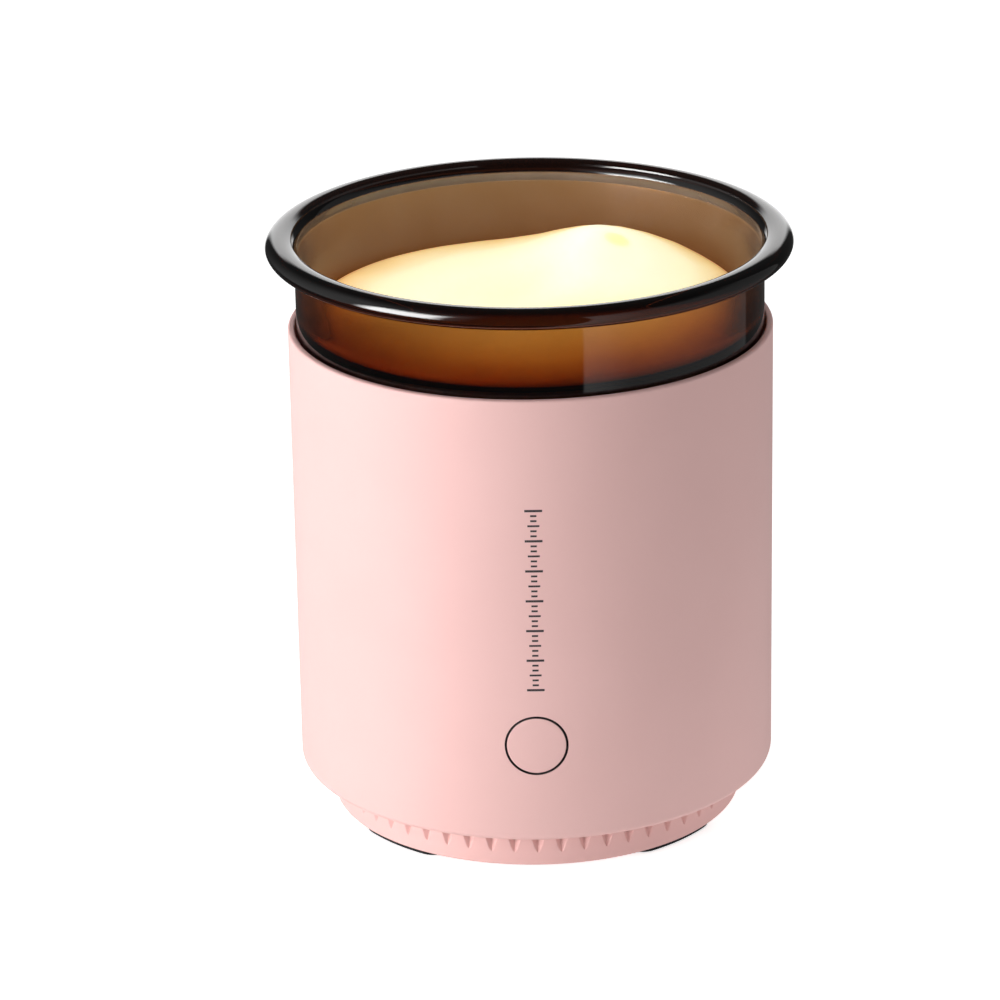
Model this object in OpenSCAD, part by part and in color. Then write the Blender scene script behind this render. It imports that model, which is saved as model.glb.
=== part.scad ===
// Electric aromatherapy wax warmer: a pink round housing with a heated well,
// and a lift-out amber glass pot with a rolled lip that holds the scented wax.
// Origin: centre of the base, on the table. +Z up, the front button faces -Y.

/* [Housing] */
// Outer radius of the round housing
body_r = 48; // [47.5:0.1:48.5]
// Height of the housing's top edge above the table
body_top = 100.6; // [100:0.1:101]
// Height of the housing's bottom edge above the table
body_bottom = 9.34; // [9.2:0.02:9.5]
// Wall of the housing below the rim
shell_wall = 2.2; // [1.8:0.1:2.2]
// Wall of the housing at the thin top rim
rim_wall = 1.3; // [1.1:0.1:1.5]

/* [Base] */
// Outer radius of the fluted base ring
base_r = 41.36; // [41:0.02:42]
// Height of the base ring's lower edge above the table
foot_proud = 1.04; // [0.8:0.02:1.2]
// Number of flutes round the base ring
flutes = 56; // [36:4:60]
// Depth of a flute at its top
flute_depth = 1.5; // [1:0.1:1.6]
// Width of each rubber foot, across its curved length
foot_w = 8; // [7:0.5:8]
// Angle that each foot covers round the base, without its round ends
foot_arc = 21; // [15:0.5:24]
// Distance of each base screw from the centre
screw_ring = 27; // [26.5:0.1:27]

/* [Glass pot] */
// Outer radius of the pot's upper band
pot_r = 46.3; // [46.1:0.05:46.4]
// Outer radius of the pot's lower part
pot_low_r = 41.5; // [41:0.1:41.8]
// Thickness of the glass wall
glass_wall = 2.6; // [2.2:0.1:2.8]
// Height of the centre of the rolled lip above the table
lip_z = 117.3; // [117:0.05:118]
// Half width of the rolled lip
lip_a = 3.05; // [2.8:0.05:3.2]
// Half height of the rolled lip
lip_b = 2.05; // [2:0.05:2.3]
// Centre radius of the rolled lip
lip_r = 48.92; // [48.8:0.01:49]

/* [Wax] */
// Level of the wax's low side above the table
wax_level = 104.5; // [103.5:0.1:104.8]
// Height of the hill in the wax above its low side
wax_hill = 11; // [6:0.5:12]

/* [Button] */
// Radius of the front button
button_r = 5.8; // [5.6:0.05:5.9]
// Radius of the hole for the button
button_hole_r = 6.2; // [6.1:0.05:6.3]
// Height of the button's centre above the table
button_z = 29.75; // [29.25:0.25:30.25]

/* [Hidden] */
$fn = 96;
e = 0.01;

pink = [0.93, 0.73, 0.71];
amber = [0.36, 0.19, 0.08, 0.6];
cream = [1.0, 0.94, 0.74];
black = [0.06, 0.06, 0.06];
white = [0.92, 0.91, 0.89];
silver = [0.76, 0.77, 0.79];
steel = [0.6, 0.61, 0.62];
board = [0.08, 0.33, 0.2];
brass = [0.8, 0.65, 0.3];
silicone = [0.85, 0.84, 0.82];

shell_in = body_r - shell_wall;
rim_in = body_r - rim_wall;
ledge_z = body_top - 5.6;
flange_in = 39.7;
flange_t = 2.2;
floor_top = foot_proud + 2.2;
pocket_z = 2.0;
liner_in = pot_low_r + 0.8;
liner_out = liner_in + 1.7;
liner_floor = 44;
liner_top = ledge_z + 2;
plate_z = 50;
plate_t = 3;
pot_z = plate_z + plate_t;
pot_floor = pot_z + 3.5;
pot_in = pot_r - glass_wall;
pot_low_in = pot_low_r - glass_wall;
shoulder_z = body_top - 2.4;
pcb_z = 16;
pcb_t = 1.6;
posts = [for (a = [45:90:315]) screw_ring * [cos(a), sin(a)]];
foot_out = base_r - 0.66;
foot_mid = foot_out - foot_w / 2;
pillars = [[30, 0], [-30, 0], [0, -22], [0, 28]];
usb_z = pcb_z + pcb_t + 1.63;

// Points on an arc in the plane, from angle a0 to a1, with n steps.
function arc(c, r, a0, a1, n) = [for (i = [0:n]) c + r * [cos(a0 + (a1 - a0) * i / n), sin(a0 + (a1 - a0) * i / n)]];
// The same on an ellipse with half axes ra and rb.
function earc(c, ra, rb, a0, a1, n) = [for (i = [0:n]) c + [ra * cos(a0 + (a1 - a0) * i / n), rb * sin(a0 + (a1 - a0) * i / n)]];

// A cylinder along +Y from y0 to y1.
module ycyl(x, z, r, y0, y1) translate([x, y0, z]) rotate([-90, 0, 0]) cylinder(r = r, h = y1 - y0);

// A slot with round ends along X, extruded along Y.
module yslot(w, h, y0, y1, z) {
    for (s = [-1, 1]) ycyl(s * (w - h) / 2, z, h / 2, y0, y1);
    translate([-(w - h) / 2, y0, z - h / 2]) cube([w - h, y1 - y0, h]);
}

// A pan-head screw pointing up: head below z, shank above it, with a cross recess.
module screw_up(z, head_r, head_h, r, len) {
    difference() {
        union() {
            translate([0, 0, z - head_h]) cylinder(r = head_r, h = head_h);
            translate([0, 0, z - e]) cylinder(r = r, h = len);
        }
        for (a = [0, 90]) rotate(a) translate([-head_r * 0.62, -head_r * 0.13, z - head_h - e])
            cube([head_r * 1.24, head_r * 0.26, head_h * 0.55]);
    }
}

// A tube swept along a list of points, with s sides.
function unit(v) = v / norm(v);
module sweep(pts, r, s = 8) {
    n = len(pts);
    dirs = [for (i = [0:n - 1]) unit(pts[min(i + 1, n - 1)] - pts[max(i - 1, 0)])];
    ring = [for (i = [0:n - 1]) let (d = dirs[i], u = unit(cross(d, abs(d[1]) < 0.9 ? [0, 1, 0] : [1, 0, 0])), v = cross(d, u))
        for (k = [0:s - 1]) pts[i] + r * (cos(360 * k / s) * u + sin(360 * k / s) * v)];
    polyhedron(points = ring, faces = concat(
        [[for (k = [0:s - 1]) k]],
        [for (i = [0:n - 2]) for (k = [0:s - 1]) [i * s + k, (i + 1) * s + k, (i + 1) * s + (k + 1) % s, i * s + (k + 1) % s]],
        [[for (k = [s - 1:-1:0]) (n - 1) * s + k]]));
}
// Points on a Bezier curve through four control points.
function bez(a, b, c, d, n) = [for (i = [0:n]) let (t = i / n) pow(1 - t, 3) * a + 3 * t * pow(1 - t, 2) * b + 3 * t * t * (1 - t) * c + t * t * t * d];

module outer_shell() color(pink) difference() {
    rotate_extrude() polygon(concat(
        arc([body_r - 1.2, body_bottom + 1.2], 1.2, -90, 0, 6),
        arc([body_r - 0.45, body_top - 0.45], 0.45, 0, 90, 4),
        [[rim_in + 0.3, body_top], [rim_in, body_top - 0.3], [rim_in, ledge_z], [shell_in, ledge_z],
         [shell_in, body_bottom + flange_t], [flange_in, body_bottom + flange_t], [flange_in, body_bottom]]));
    ycyl(0, button_z, button_hole_r, -body_r - 2, -shell_in + 6);
    yslot(12.4, 6.8, shell_in - 4, body_r + 2, usb_z);
}

// The curved pads of the four feet, from z0 to z1, grown by g
function at(r, t) = r * [cos(t), sin(t)];
function pad(g) = let (h = foot_arc / 2, r = foot_w / 2 + g) concat(
    [for (t = [-h:h / 4:h]) at(foot_mid + r, t)],
    [for (a = [15:15:165]) at(foot_mid, h) + at(r, h + a)],
    [for (t = [h:-h / 4:-h]) at(foot_mid - r, t)],
    [for (a = [195:15:345]) at(foot_mid, -h) + at(r, a - h)]);
module foot_pads(z0, z1, g) for (a = [45:90:315])
    rotate(a) translate([0, 0, z0]) linear_extrude(z1 - z0) polygon(pad(g));

module base_cover() color(pink) difference() {
    union() {
        rotate(180 / flutes) rotate_extrude() polygon(concat(
            [[0, foot_proud]], arc([base_r - 0.4, foot_proud + 0.4], 0.4, -90, 0, 5),
            [[base_r, body_bottom - 0.06], [flange_in - 0.25, body_bottom - 0.06], [flange_in - 0.25, body_bottom + 4],
             [flange_in - 0.65, body_bottom + 4.4], [flange_in - 1.4, body_bottom + 4.4],
             [flange_in - 1.4, floor_top], [0, floor_top]]));
        for (p = posts) translate([p[0], p[1], floor_top - e]) cylinder(r = 4.6, h = 8 - floor_top);
        for (a = [0:90:270]) rotate(a) translate([20, -0.8, floor_top - e]) cube([flange_in - 21, 1.6, 3.2]);
    }
    // flutes, V-shaped and tilted so that they run out at their lower ends
    for (i = [0:flutes - 1]) rotate(360 * i / flutes) translate([base_r, 0, 3.9])
        rotate([0, -atan(flute_depth / 5.4), 0]) translate([0, 0, -2]) linear_extrude(10)
            polygon([[0, 0], [3, -1.7], [3, 1.7]]);
    foot_pads(-1, pocket_z, 0.15);
    for (p = posts) translate([p[0], p[1], 0]) {
        cylinder(r = 3.1, h = 5.4);
        cylinder(r = 1.7, h = 10);
    }
    // air slots round the middle of the floor
    for (a = [0:30:330]) rotate(a) translate([4.5, -0.8, 0]) cube([5.5, 1.6, 6]);
}

module rubber_feet() color(black) foot_pads(0, pocket_z, 0);

module base_screws() color(steel) for (p = posts) translate([p[0], p[1], 0]) screw_up(5.4, 2.75, 1.9, 1.45, 12);

module inner_liner() color(white) difference() {
    rotate_extrude() polygon([[0, liner_floor], [liner_out - 1, liner_floor], [liner_out, liner_floor + 1],
        [liner_out, ledge_z], [rim_in - 0.2, ledge_z], [rim_in - 0.2, liner_top], [liner_in, liner_top],
        [liner_in, liner_floor + 3], [liner_in - 1, liner_floor + 2], [0, liner_floor + 2]]);
    // holes for the leads and for air, and pilots for the bracket's screws
    translate([26, -8.5, 40]) cylinder(r = 4, h = 8);
    translate([0, 0, 40]) cylinder(r = 3, h = 8);
    for (x = [-6.5, 6.5]) translate([x, -29.5, 40]) cylinder(r = 1.05, h = 5.2);
    for (a = [60:60:300]) rotate(a) translate([18, 0, 40]) cylinder(r = 1.5, h = 8);
    for (p = concat(posts, pillars)) translate([p[0], p[1], liner_floor - 1]) cylinder(r = 1.55, h = 2);
}

// Posts between the base and the liner's floor; each has a spigot that locates it in the floor
module post(r, z, pilot_r, pilot_h) difference() {
    union() {
        translate([0, 0, z]) cylinder(r = r, h = liner_floor - z);
        translate([0, 0, liner_floor - e]) cylinder(r = 1.5, h = 0.9);
    }
    translate([0, 0, z - e]) cylinder(r = pilot_r, h = pilot_h);
}

module long_posts() color(white) for (p = posts) translate([p[0], p[1], 0]) post(3.6, 8, 1.5, 12);

module board_posts() color(brass) for (p = pillars) translate([p[0], p[1], 0]) post(2.8, pcb_z + pcb_t, 1.0, 7.4);

module seat_gasket() color(silicone) rotate_extrude() polygon([[liner_in + 0.6, liner_top], [rim_in - 0.7, liner_top],
    [rim_in - 0.7, liner_top + 0.5], [rim_in - 1, liner_top + 0.8], [liner_in + 0.9, liner_top + 0.8], [liner_in + 0.6, liner_top + 0.5]]);

module heater_plate() color(silver) difference() {
    rotate_extrude() polygon([[15, plate_z], [39.6, plate_z], [40, plate_z + 0.4], [40, pot_z - 0.4], [39.6, pot_z],
        [13.3, pot_z], [13, pot_z - 0.3], [13, plate_z + 2], [15, plate_z + 2]]);
    for (a = [90, 210, 330]) rotate(a) translate([26, 0, plate_z - e]) cylinder(r = 1.3, h = 2);
    rotate(180) translate([26, 0, plate_z - e]) cylinder(r = 1.6, h = 1.4);
}

module plate_standoffs() color(white) for (a = [0:90:270]) rotate(a) translate([36.2, 0, liner_floor + 2]) difference() {
    cylinder(r = 2.6, h = plate_z - liner_floor - 2);
    translate([0, 0, -1]) cylinder(r = 1.2, h = 6);
}

module ptc_heaters() color([0.75, 0.74, 0.7]) for (a = [30, 150, 270]) rotate(a) translate([26, 0, plate_z - 2.4]) cylinder(r = 6, h = 2.4);

module heater_clamp() color(steel) difference() {
    translate([0, 0, plate_z - 3.2]) cylinder(r = 33.4, h = 0.8);
    translate([0, 0, plate_z - 4]) cylinder(r = 19, h = 2);
    for (a = [90, 210, 330]) rotate(a) translate([26, 0, plate_z - 4]) cylinder(r = 1.4, h = 2);
    for (a = [0, 180]) rotate(a) translate([26, 0, plate_z - 4]) translate([-4, -6.5, 0]) cube([16, 13, 2]);
}

module clamp_screws() color(steel) for (a = [90, 210, 330]) rotate(a) translate([26, 0, 0]) screw_up(plate_z - 3.2, 2.1, 0.65, 1.15, 4.8);

module thermal_fuse() color(brass) {
    ycyl(26, plate_z - 1.95, 1.9, -5, 5);
    ycyl(26, plate_z - 1.95, 0.5, -6.4, -5);
    ycyl(26, plate_z - 1.95, 0.5, 5, 6.4);
}

module thermistor() color(brass) rotate(180) translate([26, 0, plate_z - 3.6]) {
    cylinder(r = 1.5, h = 4.9);
    cylinder(r = 2.2, h = 1.2);
}

module light_window() color([0.97, 0.97, 0.95, 0.8]) rotate_extrude() polygon([[0, plate_z + 0.3], [14.85, plate_z + 0.3],
    [14.85, plate_z + 1.95], [12.85, plate_z + 1.95], [12.85, pot_z - 0.3], [12.55, pot_z - 0.1], [0, pot_z - 0.1]]);

module light_reflector() color(white) rotate_extrude() polygon([[11.6, liner_floor + 3.65], [14.8, liner_floor + 3.65],
    [14.8, plate_z + 0.25], [13.4, plate_z + 0.25]]);

module led_board() color(board) difference() {
    translate([0, 0, liner_floor + 2]) cylinder(r = 14.8, h = 1.6);
    for (s = [-1, 1]) translate([s * 1.5, 0, 40]) cylinder(r = 0.5, h = 12);
}

module led_chips() color([0.98, 0.93, 0.6]) for (i = [0:6])
    translate([i == 6 ? 0 : 7.6 * cos(60 * i + 30), i == 6 ? 0 : 7.6 * sin(60 * i + 30), liner_floor + 3.6])
        rotate(i == 6 ? 0 : 60 * i + 30) translate([-1.4, -1.75, 0]) cube([2.8, 3.5, 0.9]);

module main_board() color(board) difference() {
    union() {
        translate([0, 0, pcb_z]) cylinder(r = 38.2, h = pcb_t);
        translate([-7, 30, pcb_z]) cube([14, 14.3, pcb_t]);
    }
    for (p = posts) translate([p[0], p[1], pcb_z - 1]) cylinder(r = 4.1, h = 4);
    for (p = pillars) translate([p[0], p[1], pcb_z - 1]) cylinder(r = 1.2, h = 4);
}

module board_screws() color(steel) for (p = pillars) translate([p[0], p[1], 0]) screw_up(pcb_z, 2.1, 1.3, 0.95, 8);

module control_chip() color(black) {
    translate([-11, -9, pcb_z + pcb_t + 0.1]) cube([5.5, 8.5, 1.5]);
    for (s = [0, 1]) for (i = [0:5]) translate([-12 + s * 6.3, -8.4 + i * 1.27, pcb_z + pcb_t]) cube([1.2, 0.5, 0.8]);
}

module power_transistors() color(black) for (x = [8, 15]) translate([x, 2, pcb_z + pcb_t]) {
    cube([5.2, 6.1, 1.1]);
    translate([-0.1, 5.9, 0]) cube([5.4, 1.2, 0.5]);
}

module filter_capacitor() color([0.25, 0.26, 0.34]) translate([-15, 9, pcb_z + pcb_t]) {
    translate([-3.4, -3.4, 0]) cube([6.8, 6.8, 0.9]);
    cylinder(r = 3.15, h = 9.6);
}

module power_inductor() color([0.2, 0.2, 0.21]) translate([-2, 12, pcb_z + pcb_t]) difference() {
    translate([-3.6, -3.6, 0]) cube([7.2, 7.2, 3.4]);
    translate([0, 0, 2.9]) cylinder(r = 2.4, h = 2);
}

// Headers that the heater leads and the light leads plug into
module wire_headers() color(white) for (x = [22, -22]) translate([x - 4, -10, pcb_z + pcb_t]) difference() {
    cube([8, 5, 6]);
    for (s = [-1, 1]) translate([4 + s * 1.5, 2.5, 4]) cylinder(r = 0.9, h = 4);
}

module heater_leads() color([0.7, 0.08, 0.06]) {
    sweep(bez([26, -10, plate_z - 3.25], [26, -10, 36], [23.5, -7.5, 34], [23.5, -7.5, 22], 18), 0.75);
    sweep(bez([26, -7.2, plate_z - 3.25], [26, -7.2, 36], [20.5, -7.5, 34], [20.5, -7.5, 22], 18), 0.75);
}

module led_leads() color([0.12, 0.12, 0.13]) {
    sweep(bez([1.5, 0, liner_floor + 1.95], [1.5, 0, 30], [-20.5, -7.5, 38], [-20.5, -7.5, 22], 18), 0.6);
    sweep(bez([-1.5, 0, liner_floor + 1.95], [-1.5, 0, 30], [-23.5, -7.5, 38], [-23.5, -7.5, 22], 18), 0.6);
}

module usb_socket_shell() color(silver) difference() {
    yslot(8.94, 3.26, shell_in - 7.6, shell_in - 0.4, usb_z);
    yslot(8.34, 2.66, shell_in - 6.8, shell_in + 1, usb_z);
}

module usb_socket_tongue() color(black) {
    yslot(8.2, 2.5, shell_in - 6.75, shell_in - 5.6, usb_z);
    translate([-3.3, shell_in - 5.7, usb_z - 0.35]) cube([6.6, 4.4, 0.7]);
}

module button_bracket() color(white) difference() {
    union() {
        translate([-11, -35.4, 18.4]) cube([22, 2, liner_floor - 18.4]);
        translate([-11, -33.5, liner_floor - 2]) cube([22, 7.5, 2]);
        for (x = [-11, 9]) translate([x, -33.5, 34]) rotate([90, 0, 90]) linear_extrude(2) polygon([[0, 0], [7, 8.2], [0, 8.2]]);
    }
    for (x = [-6.5, 6.5]) translate([x, -29.5, 38]) cylinder(r = 1.25, h = 8);
    for (s = [-1, 1]) ycyl(6.5 * s, button_z - 6.5 * s, 0.8, -40, -30);
    ycyl(0, button_z, 3.5, -40, -30);
}

module bracket_screws() color(steel) for (x = [-6.5, 6.5]) translate([x, -29.5, 0]) screw_up(liner_floor - 2, 2, 1.2, 1.0, 3);

module button_board() color(board) difference() {
    translate([-9, -37, button_z - 9]) cube([18, 1.6, 18]);
    for (s = [-1, 1]) ycyl(6.5 * s, button_z - 6.5 * s, 0.9, -40, -30);
}

module button_board_screws() color(steel) for (s = [-1, 1]) {
    ycyl(6.5 * s, button_z - 6.5 * s, 1.7, -38.2, -37);
    ycyl(6.5 * s, button_z - 6.5 * s, 0.75, -37.01, -33.6);
}

// Right-angle pins that join the button's board to the main board
module button_header() color(brass) for (x = [-2.5, 0, 2.5]) {
    translate([x - 0.32, -37.64, pcb_z + pcb_t]) cube([0.64, 0.64, 6.2]);
}

module switch_body() color(black) difference() {
    union() {
        translate([-3, -40.4, button_z - 3]) cube([6, 3.4, 6]);
        for (s = [-1, 1]) for (t = [-1, 1]) translate([s * 3.6 - 0.6, -37.4, button_z + 2.2 * t - 0.35]) cube([1.2, 0.4, 0.7]);
    }
    ycyl(0, button_z, 1.8, -42, -38.6);
}

module switch_stem() color([0.3, 0.3, 0.3]) ycyl(0, button_z, 1.7, -41.3, -39.2);

module button_cap() color(pink) {
    difference() {
        ycyl(0, button_z, button_r, -body_r - 1, -43.8);
        difference() {
            translate([0, 0, button_z - 10]) cylinder(r = body_r + 6, h = 20);
            translate([0, 0, button_z - 11]) cylinder(r = body_r, h = 22);
        }
    }
    ycyl(0, button_z, 7.4, -45, -43.8);
    ycyl(0, button_z, 2, -43.81, -41.3);
}

module glass_pot() color(amber) rotate_extrude() polygon(concat(
    [[0, pot_z]],
    arc([pot_low_r - 2, pot_z + 2], 2, -90, 0, 5),
    arc([pot_low_r + 1.6, shoulder_z - 1.6], 1.6, 180, 90, 5),
    arc([pot_r - 2, shoulder_z + 2], 2, -90, 0, 6),
    arc([pot_r + 0.9, lip_z - lip_b - 0.3], 0.9, 180, 100, 4),
    earc([lip_r, lip_z], lip_a, lip_b, -112, 131, 20),
    // a fine step, then the lip's inner lobe
    arc([lip_r - 1.9, lip_z + 1.38], 0.2, 122, 168, 2),
    [[lip_r - 2.15, lip_z + 1.25]],
    arc([lip_r - 0.57, lip_z - 1.12], 2.8, 125, 150, 3),
    arc([lip_r - 2.57, lip_z + 0.03], 0.5, 156, 170, 2),
    [[pot_in, wax_level - 0.1]],
    arc([pot_in - 1.8, shoulder_z + 4.6], 1.8, 0, -90, 5),
    arc([pot_low_in + 1.6, shoulder_z + 1.2], 1.6, 90, 180, 5),
    arc([pot_low_in - 3, pot_floor + 3], 3, 0, -90, 5),
    [[0, pot_floor]]));

// Height of the hill in the wax at a point
function hill(x, y) = wax_hill * exp(-0.5 * pow((x - 13.3) / (x < 13.3 ? 8.7 : 12.7), 2) - 0.5 * pow((y - 8) / 20, 2));
// Outline of the wax: [radius, height, share of the hill that lifts it]
wax_rings = [[pot_low_in - 3.1, pot_floor + 0.1, 0], [pot_low_in - 1, pot_floor + 1, 0], [pot_low_in - 0.14, pot_floor + 3.2, 0],
    for (a = [180:-18:90]) [pot_low_in + 1.6 + 1.76 * cos(a), shoulder_z + 1.2 + 1.76 * sin(a), 0],
    [42.1, shoulder_z + 3.05, 0.05], [43.0, shoulder_z + 3.75, 0.4], [43.1, wax_level - 1.5, 1], [42.6, wax_level - 1.0, 1],
    [41.7, wax_level - 0.5, 1], [40.4, wax_level - 0.12, 1], [38.5, wax_level, 1], [35, wax_level, 1], [31, wax_level, 1],
    [26.5, wax_level, 1], [22, wax_level, 1], [17, wax_level, 1], [12, wax_level, 1], [6, wax_level, 1]];
wax_n = 60;
module wax_block() color(cream) {
    m = len(wax_rings);
    pts = concat([for (q = wax_rings) for (k = [0:wax_n - 1]) let (a = 360 * k / wax_n, x = q[0] * cos(a), y = q[0] * sin(a))
            [x, y, q[1] + q[2] * hill(x, y)]], [[0, 0, pot_floor + 0.1], [0, 0, wax_level + hill(0, 0)]]);
    polyhedron(points = pts, faces = concat(
        [for (k = [0:wax_n - 1]) [m * wax_n, k, (k + 1) % wax_n]],
        [for (i = [0:m - 2]) for (k = [0:wax_n - 1]) let (j = (k + 1) % wax_n)
            each [[i * wax_n + k, (i + 1) * wax_n + k, (i + 1) * wax_n + j], [i * wax_n + k, (i + 1) * wax_n + j, i * wax_n + j]]],
        [for (k = [0:wax_n - 1]) [(m - 1) * wax_n + (k + 1) % wax_n, (m - 1) * wax_n + k, m * wax_n + 1]]));
}

outer_shell();
base_cover();
rubber_feet();
base_screws();
inner_liner();
long_posts();
board_posts();
seat_gasket();
heater_plate();
plate_standoffs();
ptc_heaters();
heater_clamp();
clamp_screws();
thermal_fuse();
thermistor();
light_window();
light_reflector();
led_board();
led_chips();
main_board();
board_screws();
control_chip();
power_transistors();
filter_capacitor();
power_inductor();
wire_headers();
heater_leads();
led_leads();
usb_socket_shell();
usb_socket_tongue();
button_bracket();
bracket_screws();
button_board();
button_board_screws();
button_header();
switch_body();
switch_stem();
button_cap();
glass_pot();
wax_block();
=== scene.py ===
import math

import bmesh
import bpy
from mathutils import Matrix, Vector


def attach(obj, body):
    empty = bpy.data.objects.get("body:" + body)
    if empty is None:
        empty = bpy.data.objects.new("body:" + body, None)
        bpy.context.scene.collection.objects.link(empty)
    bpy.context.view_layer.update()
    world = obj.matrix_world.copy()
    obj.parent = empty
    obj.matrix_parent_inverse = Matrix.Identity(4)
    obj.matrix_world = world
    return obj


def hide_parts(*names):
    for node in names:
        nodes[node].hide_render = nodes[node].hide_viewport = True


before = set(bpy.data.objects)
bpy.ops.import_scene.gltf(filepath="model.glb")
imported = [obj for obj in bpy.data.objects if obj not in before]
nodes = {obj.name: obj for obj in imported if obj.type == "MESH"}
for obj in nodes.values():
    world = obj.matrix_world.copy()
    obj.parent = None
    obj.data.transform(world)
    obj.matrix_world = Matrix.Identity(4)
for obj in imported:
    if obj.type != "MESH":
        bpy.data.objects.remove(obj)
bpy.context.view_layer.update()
scene = bpy.context.scene
MM = 0.001

# ---------------------------------------------------------------- camera

cam_data = bpy.data.cameras.new("camera")
cam = bpy.data.objects.new("camera", cam_data)
scene.collection.objects.link(cam)
scene.camera = cam
cam_data.sensor_width = 36.0
cam_data.lens = 163.70
cam_data.clip_start = 0.05
cam_data.clip_end = 20.0
right = Vector((0.99986162, 0.00142564, -0.01657448))
up = Vector((0.01497106, 0.35730442, 0.93386799))
ahead = Vector((-0.00725349, 0.9339869, -0.35723363))
turn = Matrix((right, up, -ahead)).transposed().to_4x4()
cam.matrix_world = Matrix.Translation((0.0, -0.853502, 0.388943)) @ turn

# ---------------------------------------------------------------- node helpers


class Nodes:
    """A small builder for node trees: add() makes a node, link() joins sockets."""

    def __init__(self, tree):
        self.tree = tree
        tree.nodes.clear()

    def add(self, kind, inputs=None, **attributes):
        node = self.tree.nodes.new(kind)
        for name, value in attributes.items():
            setattr(node, name, value)
        for name, value in (inputs or {}).items():
            socket = node.inputs[name]
            if isinstance(value, bpy.types.NodeSocket):
                self.tree.links.new(value, socket)
            else:
                socket.default_value = value
        return node

    def link(self, source, target):
        self.tree.links.new(source, target)

    def math(self, operation, a, b=0.0, c=0.0):
        n = self.add("ShaderNodeMath", {0: a, 1: b, 2: c}, operation=operation)
        return n.outputs[0]

    def map(self, value, low, high, to_low=0.0, to_high=1.0, smooth=True):
        n = self.add(
            "ShaderNodeMapRange",
            {"Value": value, "From Min": low, "From Max": high, "To Min": to_low, "To Max": to_high},
            interpolation_type="SMOOTHSTEP" if smooth else "LINEAR",
        )
        return n.outputs[0]

    def noise(self, vector, scale, detail=2.0, rough=0.5):
        n = self.add(
            "ShaderNodeTexNoise",
            {"Vector": vector, "Scale": scale, "Detail": detail, "Roughness": rough},
        )
        return n.outputs["Fac"]

    def mix(self, fac, a, b):
        n = self.add("ShaderNodeMix", data_type="RGBA")
        for socket, value in ((n.inputs[0], fac), (n.inputs[6], a), (n.inputs[7], b)):
            if isinstance(value, bpy.types.NodeSocket):
                self.link(value, socket)
            else:
                socket.default_value = value
        return n.outputs[2]

    def times(self, a, b):
        n = self.add("ShaderNodeMix", {0: 1.0}, data_type="RGBA", blend_type="MULTIPLY")
        for socket, value in ((n.inputs[6], a), (n.inputs[7], b)):
            if isinstance(value, bpy.types.NodeSocket):
                self.link(value, socket)
            else:
                socket.default_value = value
        return n.outputs[2]

    def ramp(self, fac, stops):
        n = self.add("ShaderNodeValToRGB", {"Fac": fac})
        ramp = n.color_ramp
        while len(ramp.elements) > 1:
            ramp.elements.remove(ramp.elements[-1])
        ramp.elements[0].position, ramp.elements[0].color = stops[0][0], (*stops[0][1], 1)
        for place, colour in stops[1:]:
            ramp.elements.new(place).color = (*colour, 1)
        return n.outputs["Color"]

    def bump(self, height, distance, strength=1.0, normal=None):
        inputs = {"Height": height, "Distance": distance, "Strength": strength}
        if normal is not None:
            inputs["Normal"] = normal
        return self.add("ShaderNodeBump", inputs).outputs["Normal"]


def rgb(r, g, b):
    return (r, g, b, 1.0)


def new_material(name):
    m = bpy.data.materials.new(name)
    m.use_nodes = True
    n = Nodes(m.node_tree)
    out = n.add("ShaderNodeOutputMaterial")
    place = n.add("ShaderNodeTexCoord").outputs["Object"]
    return m, n, out, place


def moulded(name, colour, rough=0.5, grain=5000.0, grain_depth=4e-6, mottle=0.03, spread=0.06, metallic=0.0,
            specular=0.5, coat=0.0, sheen=0.0, ior=1.5, emit=None, emit_strength=0.0):
    """Moulded or cast surfaces: fine grain in the bump, slow variation in colour and roughness."""
    m, n, out, place = new_material(name)
    slow = n.noise(place, 45.0, 3.0)
    fine = n.noise(place, grain, 2.0, 0.6)
    cloud = n.noise(place, 350.0, 4.0, 0.55)
    darker = tuple(c * (1 - mottle) for c in colour)
    lighter = tuple(min(1.0, c * (1 + mottle)) for c in colour)
    tint = n.mix(n.map(slow, 0.35, 0.65), rgb(*darker), rgb(*lighter))
    level = n.math("ADD", n.math("MULTIPLY", n.math("SUBTRACT", cloud, 0.5), 2 * spread), rough)
    inputs = {
        "Base Color": tint,
        "Roughness": level,
        "Metallic": metallic,
        "Specular IOR Level": specular,
        "Coat Weight": coat,
        "Sheen Weight": sheen,
        "IOR": ior,
        "Normal": n.bump(n.math("ADD", fine, n.math("MULTIPLY", cloud, 0.5)), grain_depth),
    }
    if emit:
        inputs["Emission Color"] = rgb(*emit)
        inputs["Emission Strength"] = emit_strength
    shader = n.add("ShaderNodeBsdfPrincipled", inputs)
    n.link(shader.outputs[0], out.inputs["Surface"])
    return m


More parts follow.
